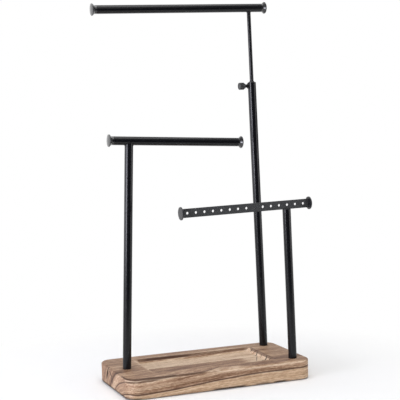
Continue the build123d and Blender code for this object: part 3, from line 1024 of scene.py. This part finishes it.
def seam_beads():
    """Two short beads that hold the flat bar on its post's closed top."""
    seat = BAR_HEIGHT - STRIP_WIDTH / 2
    beads = []
    for side in (-1, 1):
        deselect()
        bpy.ops.mesh.primitive_uv_sphere_add(segments=24, ring_count=12, radius=1)
        bead = named("front_weld")
        bead.scale = [half * MM for half in SEAM_HALF_SIZE]
        bead.location = (0, side * (STRIP_THICKNESS / 2 + SEAM_OUT) * MM, SEAM_UP * MM)
        settle(bead)
        beads.append(bead)
    activate(beads[0])
    beads[1].select_set(True)
    bpy.ops.object.join()
    settle(beads[0], upright(FRONT_FOOT, FRONT_LEAN, seat * MM))
    smooth(beads[0], 60)
    dress(beads[0], finish_flat)
    mount(beads[0], "stand", "flat_bar")


seam_beads()

# ---------------------------------------------------------------- floor and backdrop
# Metres. The paper turns plain white between the last two distances from the object.
FLOOR_SIZE = 6.0
FLOOR_BACK = 1.6
SWEEP_RADIUS = 0.8
WHITE_FROM, WHITE_ALL = 0.16, 0.36
PAPER_BRIGHTNESS, PAPER_MOTTLE = 0.96, 0.985


def paper(name, brightness):
    """White paper, faintly mottled. Away from the object, what sees it directly sees plain white."""
    f = Finish(name)
    mottle = f.noise(f.place(), 0.02, detail=2.0)
    tint = f.mix(mottle, (brightness,) * 3, (brightness * PAPER_MOTTLE,) * 3)
    f.set(Base_Color=tint, Roughness=0.9, Specular_IOR_Level=0.1)
    x, y, z = f.split(f.place())
    away = (x * x + y * y + z * z).root().ramp(WHITE_FROM / MM, WHITE_ALL / MM)
    seen = f.add("LightPath", {}, output="Is Camera Ray")
    for ray in ("Is Glossy Ray", "Is Transmission Ray"):
        seen = seen.at_least(f.add("LightPath", {}, output=ray))
    glow = f.add("Emission", {"Color": (1, 1, 1, 1), "Strength": 1.0})
    lit = Value(f, f.shader.outputs[0])
    surface = f.add("MixShader", {0: away * seen, 1: lit, 2: glow})
    f.feed(f.tree.nodes["Material Output"].inputs["Surface"], surface)
    return f.material


def backdrop():
    """One sheet: floor, a wide curve behind the object, and a wall."""
    deselect()
    bpy.ops.mesh.primitive_plane_add(size=FLOOR_SIZE, location=(0, FLOOR_BACK - FLOOR_SIZE / 2, 0))
    sheet = named("paper_sweep")
    settle(sheet)

    def back_edge(edge):
        return all(abs(end.y - FLOOR_BACK) < MM for end in ends_of(sheet, edge))

    pick(sheet, "EDGE", back_edge)
    bpy.ops.mesh.extrude_region_move(TRANSFORM_OT_translate={"value": (0, 0, FLOOR_SIZE / 2)})
    bpy.ops.object.mode_set(mode="OBJECT")
    pick(sheet, "EDGE", lambda edge: back_edge(edge) and all(end.z < MM for end in ends_of(sheet, edge)))
    bevel(SWEEP_RADIUS, 16)
    bpy.ops.object.mode_set(mode="OBJECT")
    smooth(sheet, 60)
    dress(sheet, paper("white_paper", PAPER_BRIGHTNESS))


backdrop()

# ---------------------------------------------------------------- light
# Degrees and metres
VIEW_AZIMUTH, VIEW_ELEVATION = -21.83, 4.27
LIGHT_AIM = Vector((0, 0, 0.18))
COOL = (0.88, 0.89, 1.0)
AMBIENT = 0.26
FLAG_AZIMUTH = VIEW_AZIMUTH + 17
FLAG_WIDTH, FLAG_HEIGHT, FLAG_DISTANCE = 0.90, 0.60, 0.45


def toward(azimuth, elevation):
    """Direction from the object: azimuth 0 is the front, and elevation is above the horizon."""
    a, e = radians(azimuth), radians(elevation)
    return Vector((sin(a) * cos(e), -cos(a) * cos(e), sin(e)))


def softbox(name, azimuth, elevation, distance, width, height, radiance, tint=(1, 1, 1)):
    """Rectangular lamp turned to the object. radiance is the brightness of its face."""
    lamp = bpy.data.lights.new(name, "AREA")
    lamp.shape = "RECTANGLE"
    lamp.size, lamp.size_y = width, height
    lamp.energy = radiance * pi * width * height
    lamp.color = tint
    holder = bpy.data.objects.new(name, lamp)
    bpy.context.scene.collection.objects.link(holder)
    direction = toward(azimuth, elevation)
    holder.location = LIGHT_AIM + direction * distance
    holder.rotation_mode = "QUATERNION"
    holder.rotation_quaternion = direction.to_track_quat("Z", "Y")


# The two lamps at the left draw the tubes' bright left edge, and the one at the right their dim right edge
softbox("left_key", VIEW_AZIMUTH - 47, 4, 1.4, 0.54, 0.46, 14.0, COOL)
softbox("left_fill", VIEW_AZIMUTH - 81, 5, 1.4, 1.15, 0.52, 2.4, COOL)
softbox("right_box", VIEW_AZIMUTH + 78, 6, 1.4, 0.60, 1.0, 2.4)
softbox("front_box", VIEW_AZIMUTH, 35, 1.7, 2.2, 1.2, 0.95)
softbox("top_box", VIEW_AZIMUTH, 88, 1.35, 1.2, 1.1, 3.0)


def dark_flag():
    """Black flag on the camera's side, seen only in reflections, where it darkens the tubes' middles."""
    deselect()
    bpy.ops.mesh.primitive_plane_add(size=1)
    flag = named("dark_flag")
    facing = toward(FLAG_AZIMUTH, 0)
    flag.scale = (FLAG_WIDTH, FLAG_HEIGHT, 1)
    flag.location = facing * FLAG_DISTANCE + Vector((0, 0, FLAG_HEIGHT / 2))
    flag.rotation_mode = "QUATERNION"
    flag.rotation_quaternion = facing.to_track_quat("Z", "Y")
    settle(flag)
    cloth = Finish("black_cloth")
    weave = cloth.noise(cloth.place(), 0.5)
    black = (0.01, 0.01, 0.01)
    dress(flag, cloth.set(Base_Color=black, Roughness=weave * 0.1 + 0.9, Specular_IOR_Level=0.0))
    flag.visible_camera = False
    flag.visible_diffuse = False
    flag.visible_shadow = False


dark_flag()

world = bpy.data.worlds.new("studio")
world.use_nodes = True
bpy.context.scene.world = world
ambient = world.node_tree.nodes["Background"]
ambient.inputs["Color"].default_value = (1, 1, 1, 1)
ambient.inputs["Strength"].default_value = AMBIENT

# ---------------------------------------------------------------- camera
VIEW_DISTANCE = 1.22619
VIEW_ROLL = -1.42
VIEW_TARGET = Vector((-0.00066, 0, 0.21243))
FOCAL_PIXELS = 1050.26
PICTURE_PIXELS = 400
SENSOR_WIDTH = 36.0

lens = bpy.data.cameras.new("camera")
lens.sensor_width = SENSOR_WIDTH
lens.lens = SENSOR_WIDTH * FOCAL_PIXELS / PICTURE_PIXELS
camera = bpy.data.objects.new("camera", lens)
bpy.context.scene.collection.objects.link(camera)
back = toward(VIEW_AZIMUTH, VIEW_ELEVATION)
camera.rotation_mode = "QUATERNION"
roll = Matrix.Rotation(radians(VIEW_ROLL), 3, "Z")
camera.rotation_quaternion = (back.to_track_quat("Z", "Y").to_matrix() @ roll).to_quaternion()
camera.location = VIEW_TARGET + back * VIEW_DISTANCE
bpy.context.scene.camera = camera
bpy.context.scene.view_settings.view_transform = "Standard"
